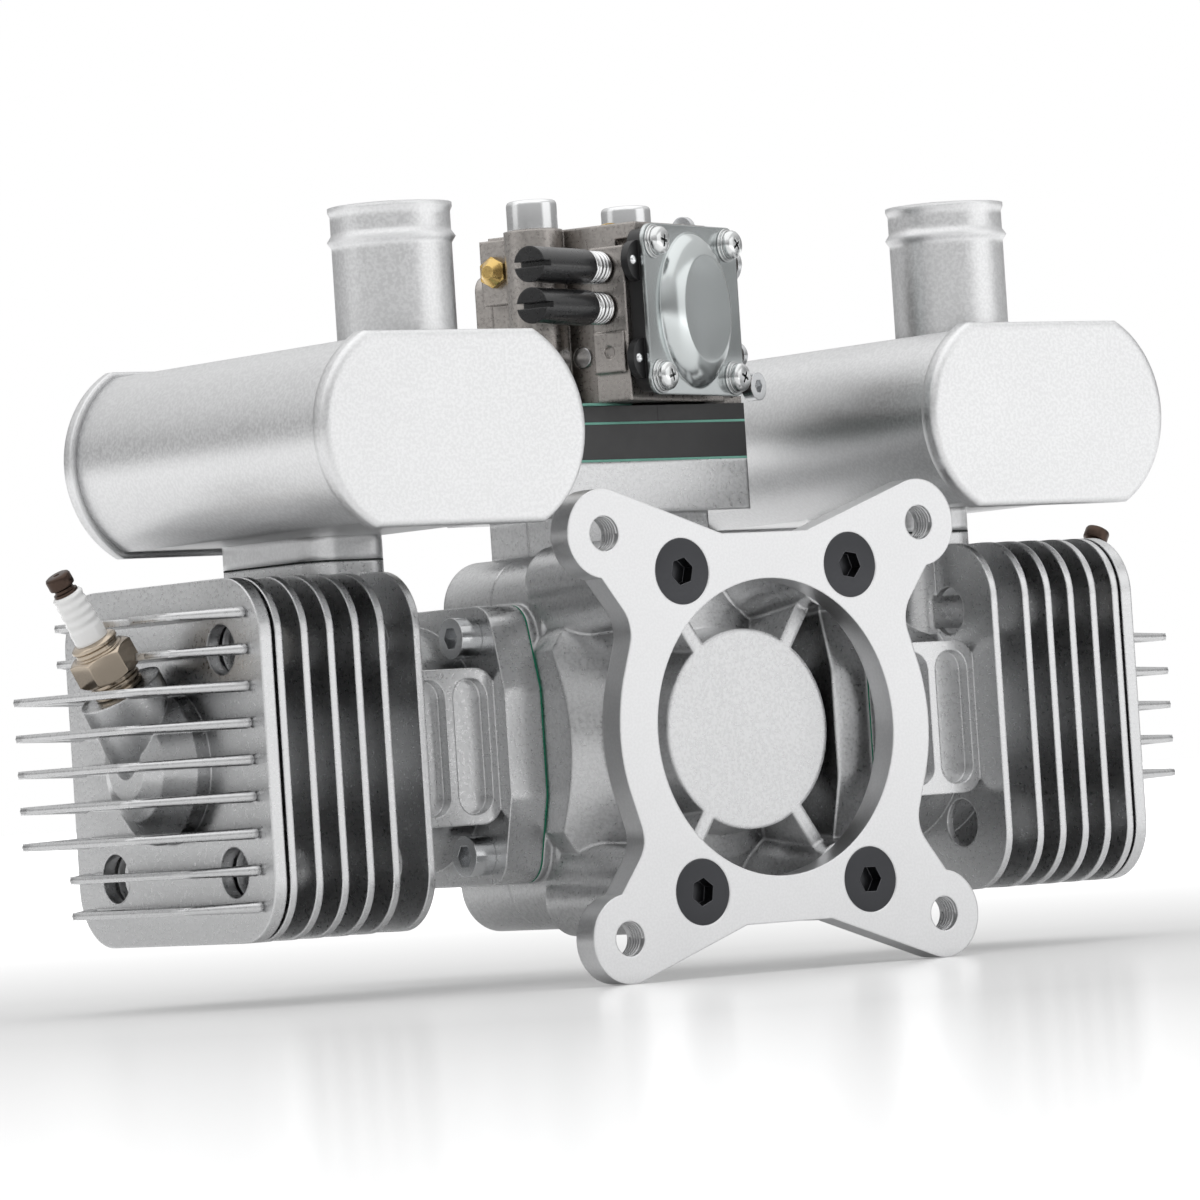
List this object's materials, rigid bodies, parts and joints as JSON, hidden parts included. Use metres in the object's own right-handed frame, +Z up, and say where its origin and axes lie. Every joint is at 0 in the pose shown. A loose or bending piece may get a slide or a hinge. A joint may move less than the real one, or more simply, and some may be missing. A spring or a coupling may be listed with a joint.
{
  "type": "flat twin two-stroke aircraft engine",
  "caption": "Horizontally opposed two-stroke petrol engine with finned cylinders, box mufflers, a top-mounted diaphragm carburettor, a rear mounting plate and a propeller hub.",
  "frame": {"origin": "crankshaft axis at the rear face of the mount plate, which is the centre of the four mounting holes", "axes": "+X along the right cylinder, +Y forward along the crankshaft to the propeller hub, +Z up through the carburettor"},
  "size_m": [0.3028, 0.1829, 0.1922],
  "materials": {
    "plate": "satin, machined edges",
    "black_steel": "black oxide",
    "casting": "fine blasted casting",
    "zinc": "bright zinc",
    "bearing_steel": "ground steel",
    "rubber": "matt",
    "cylinder_alloy": "satin casting",
    "plug_steel": "pale plated",
    "ceramic": "glazed white",
    "terminal_steel": "dark brown",
    "muffler_sheet": "bead blasted",
    "dark_gasket": "fibre sheet",
    "gasket": "fibre sheet",
    "phenolic": "matt black",
    "carburettor_cast": "grey-brown die casting",
    "black_rubber": "matt",
    "zinc_cover": "zinc plated sheet",
    "chrome": "bright",
    "brass": "bright",
    "black_knob": "semi-matt black"
  },
  "bodies": {
    "engine": {"mount_plate": "plate", "plate_screws": "black_steel", "crankcase_rear": "casting", "crankcase_front": "casting", "crankcase_bolts": "zinc", "base_screws": "zinc", "rear_bearing": "bearing_steel", "front_bearing": "bearing_steel", "nose_bearing": "bearing_steel", "shaft_seal": "rubber", "cylinder_left": "cylinder_alloy", "cylinder_right": "cylinder_alloy", "spark_plug_shell_left": "plug_steel", "spark_plug_shell_right": "plug_steel", "spark_plug_insulator_left": "ceramic", "spark_plug_insulator_right": "ceramic", "spark_plug_terminals": "terminal_steel", "muffler_body_left": "muffler_sheet", "muffler_body_right": "muffler_sheet", "muffler_end_caps_left": "muffler_sheet", "muffler_end_caps_right": "muffler_sheet", "outlet_tube_left": "muffler_sheet", "outlet_tube_right": "muffler_sheet", "base_gaskets": "dark_gasket", "exhaust_gaskets": "dark_gasket", "intake_gaskets": "gasket", "reed_valve": "phenolic", "heat_spacer": "phenolic", "carburettor_body": "carburettor_cast", "pump_cover": "carburettor_cast", "diaphragm_stack": "black_rubber", "diaphragm_cover": "zinc_cover", "cover_screws": "chrome", "carburettor_springs": "chrome", "carburettor_bolts": "chrome", "brass_plug": "brass", "fuel_nipple": "brass"},
    "crankshaft": {"crankshaft_rear": "bearing_steel", "crankshaft_centre_web": "bearing_steel", "crankshaft_front": "bearing_steel", "bearing_inner_races": "bearing_steel", "propeller_hub": "plate", "hub_bolt_and_washer": "zinc"},
    "crankpin_left": {"crankpin_left": "bearing_steel"},
    "crankpin_right": {"crankpin_right": "bearing_steel"},
    "piston_left": {"conrod_left": "bearing_steel", "wrist_pin_left": "bearing_steel", "piston_rings_left": "bearing_steel", "piston_left": "cylinder_alloy"},
    "piston_right": {"conrod_right": "bearing_steel", "wrist_pin_right": "bearing_steel", "piston_rings_right": "bearing_steel", "piston_right": "cylinder_alloy"},
    "throttle": {"throttle_shaft": "zinc", "throttle_plate": "brass"},
    "choke": {"choke_shaft": "zinc", "choke_plate": "brass"},
    "low_speed_needle": {"low_speed_needle": "black_knob"},
    "high_speed_needle": {"high_speed_needle": "black_knob"},
    "idle_screw": {"idle_screw": "zinc"}
  },
  "joints": [
    {"name": "crank_spin", "type": "hinge", "parent": "engine", "child": "crankshaft", "pos_m": [0, 0, 0], "axis": [0, 1, 0], "continuous": true},
    {"name": "crankpin_left_turn", "type": "hinge", "parent": "crankshaft", "child": "crankpin_left", "pos_m": [-0.009, 0.0835, 0], "axis": [0, 1, 0], "continuous": true},
    {"name": "piston_left_travel", "type": "hinge", "parent": "crankpin_left", "child": "piston_left", "pos_m": [-0.018, 0.0835, 0], "axis": [0, 1, 0], "continuous": true},
    {"name": "crankpin_right_turn", "type": "hinge", "parent": "crankshaft", "child": "crankpin_right", "pos_m": [0.009, 0.0495, 0], "axis": [0, 1, 0], "continuous": true},
    {"name": "piston_right_travel", "type": "hinge", "parent": "crankpin_right", "child": "piston_right", "pos_m": [0.018, 0.0495, 0], "axis": [0, 1, 0], "continuous": true},
    {"name": "throttle_turn", "type": "hinge", "parent": "engine", "child": "throttle", "pos_m": [0.00308, 0.05804, 0.094], "axis": [-0.9397, -0.342, 0], "range_deg": [0, 75], "stiffness_Nm_per_rad": 0.01, "springref_deg": -22.92},
    {"name": "choke_turn", "type": "hinge", "parent": "engine", "child": "choke", "pos_m": [0.00308, 0.05804, 0.117], "axis": [-0.9397, -0.342, 0], "range_deg": [0, 80]},
    {"name": "low_speed_needle_turn", "type": "hinge", "parent": "engine", "child": "low_speed_needle", "pos_m": [-0.02709, 0.03567, 0.105], "axis": [0.9397, 0.342, 0], "range_deg": [-360, 360]},
    {"name": "high_speed_needle_turn", "type": "hinge", "parent": "engine", "child": "high_speed_needle", "pos_m": [-0.02709, 0.03567, 0.115], "axis": [0.9397, 0.342, 0], "range_deg": [-360, 360]},
    {"name": "idle_screw_turn", "type": "hinge", "parent": "engine", "child": "idle_screw", "pos_m": [0.03597, 0.05831, 0.0858], "axis": [-0.342, 0.9397, 0], "range_deg": [-360, 360]}
  ],
  "couplings": [
    {"joint": "crankpin_left_turn", "follows": "crank_spin", "ratio": -2},
    {"joint": "piston_left_travel", "follows": "crank_spin", "ratio": 1},
    {"joint": "crankpin_right_turn", "follows": "crank_spin", "ratio": -2},
    {"joint": "piston_right_travel", "follows": "crank_spin", "ratio": 1}
  ]
}
